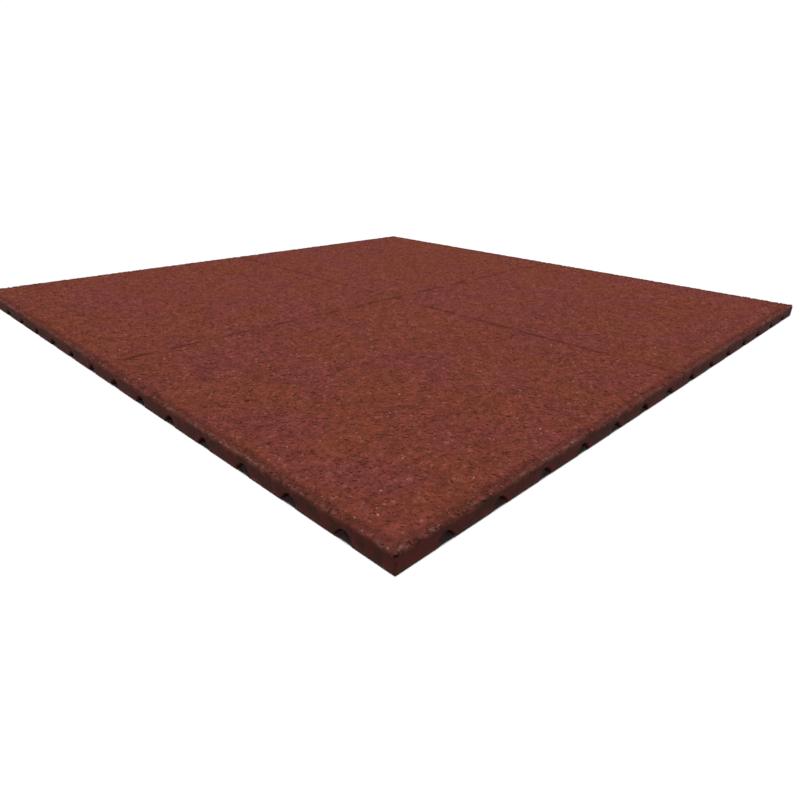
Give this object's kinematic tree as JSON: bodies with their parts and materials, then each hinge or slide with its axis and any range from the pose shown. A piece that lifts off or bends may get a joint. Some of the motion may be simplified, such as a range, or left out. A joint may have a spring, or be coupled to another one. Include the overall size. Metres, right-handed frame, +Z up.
{
  "type": "rubber paver",
  "caption": "Square one-piece rubber paver of bonded red granulate, with a scored cross in its wearing face and half-round drainage channels crossing its underside.",
  "frame": {"origin": "middle of the underside, at the level of the ground the paver lies on", "axes": "+Z up, from the underside to the wearing face; +X and +Y along the sides, parallel to the scored lines"},
  "size_m": [1, 1, 0.02],
  "materials": {
    "red_granulate": "matt, coarse granular, coloured through"
  },
  "bodies": {
    "root": {"rubber_tile": "red_granulate"}
  },
  "joints": []
}
